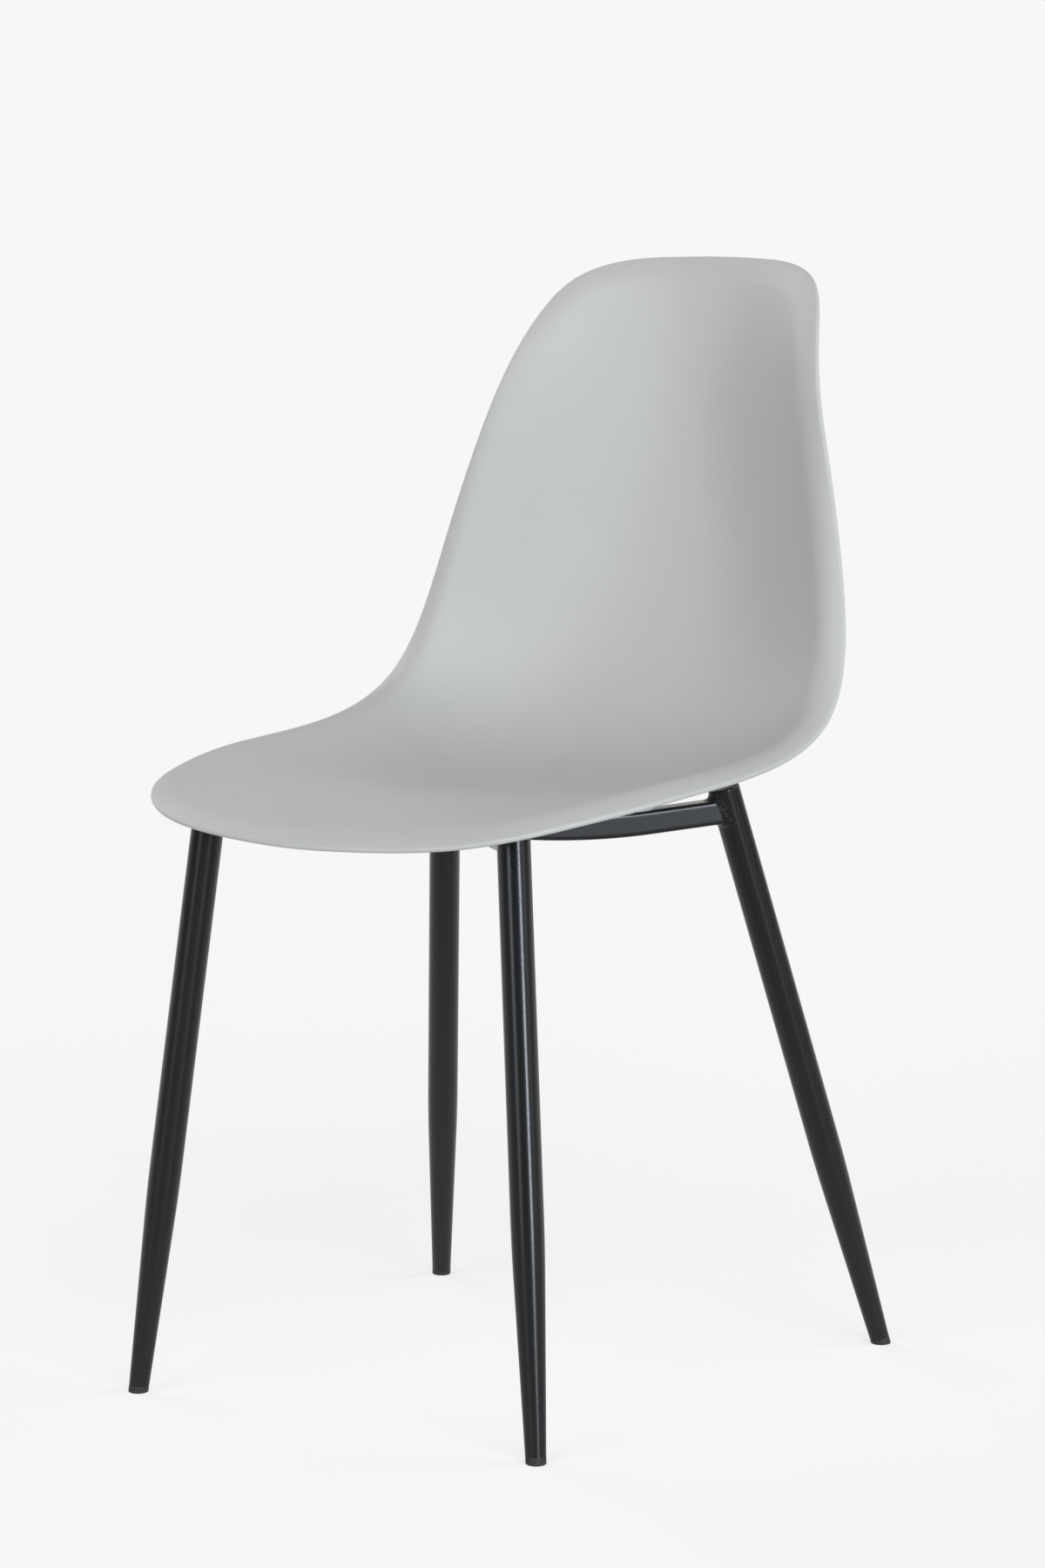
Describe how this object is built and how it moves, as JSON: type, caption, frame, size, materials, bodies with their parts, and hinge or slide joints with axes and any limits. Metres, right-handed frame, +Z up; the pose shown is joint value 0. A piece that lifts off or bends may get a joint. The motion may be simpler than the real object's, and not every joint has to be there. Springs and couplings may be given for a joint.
{
  "type": "shell chair",
  "caption": "Dining chair with a one-piece moulded plastic bucket shell, its edge rolled outward, on splayed tapered round steel legs joined by crossed rails.",
  "frame": {"origin": "on the floor, under the middle of the chair's outline", "axes": "+Z up, -Y the way the sitter faces, +X towards the sitter's left hand"},
  "size_m": [0.4474, 0.5906, 0.8689],
  "materials": {
    "shell_plastic": "light warm grey polypropylene with a fine moulded satin grain",
    "frame_steel": "satin black powder coat",
    "glide_plastic": "matte black moulded plastic",
    "plated_steel": "bright zinc plate",
    "insert_brass": "plain machined brass"
  },
  "bodies": {
    "root": {"seat_shell": "shell_plastic", "leg_front_right": "frame_steel", "leg_front_left": "frame_steel", "leg_rear_right": "frame_steel", "leg_rear_left": "frame_steel", "leg_cap_front_right": "frame_steel", "leg_cap_front_left": "frame_steel", "leg_cap_rear_right": "frame_steel", "leg_cap_rear_left": "frame_steel", "foot_glide_front_right": "glide_plastic", "foot_glide_front_left": "glide_plastic", "foot_glide_rear_right": "glide_plastic", "foot_glide_rear_left": "glide_plastic", "cross_rail_through": "frame_steel", "cross_rail_front_half": "frame_steel", "cross_rail_rear_half": "frame_steel", "weld_front_right": "frame_steel", "weld_front_left": "frame_steel", "weld_rear_right": "frame_steel", "weld_rear_left": "frame_steel", "cross_welds": "frame_steel", "seat_bolts": "plated_steel", "seat_washers": "plated_steel", "seat_inserts": "insert_brass"}
  },
  "joints": []
}
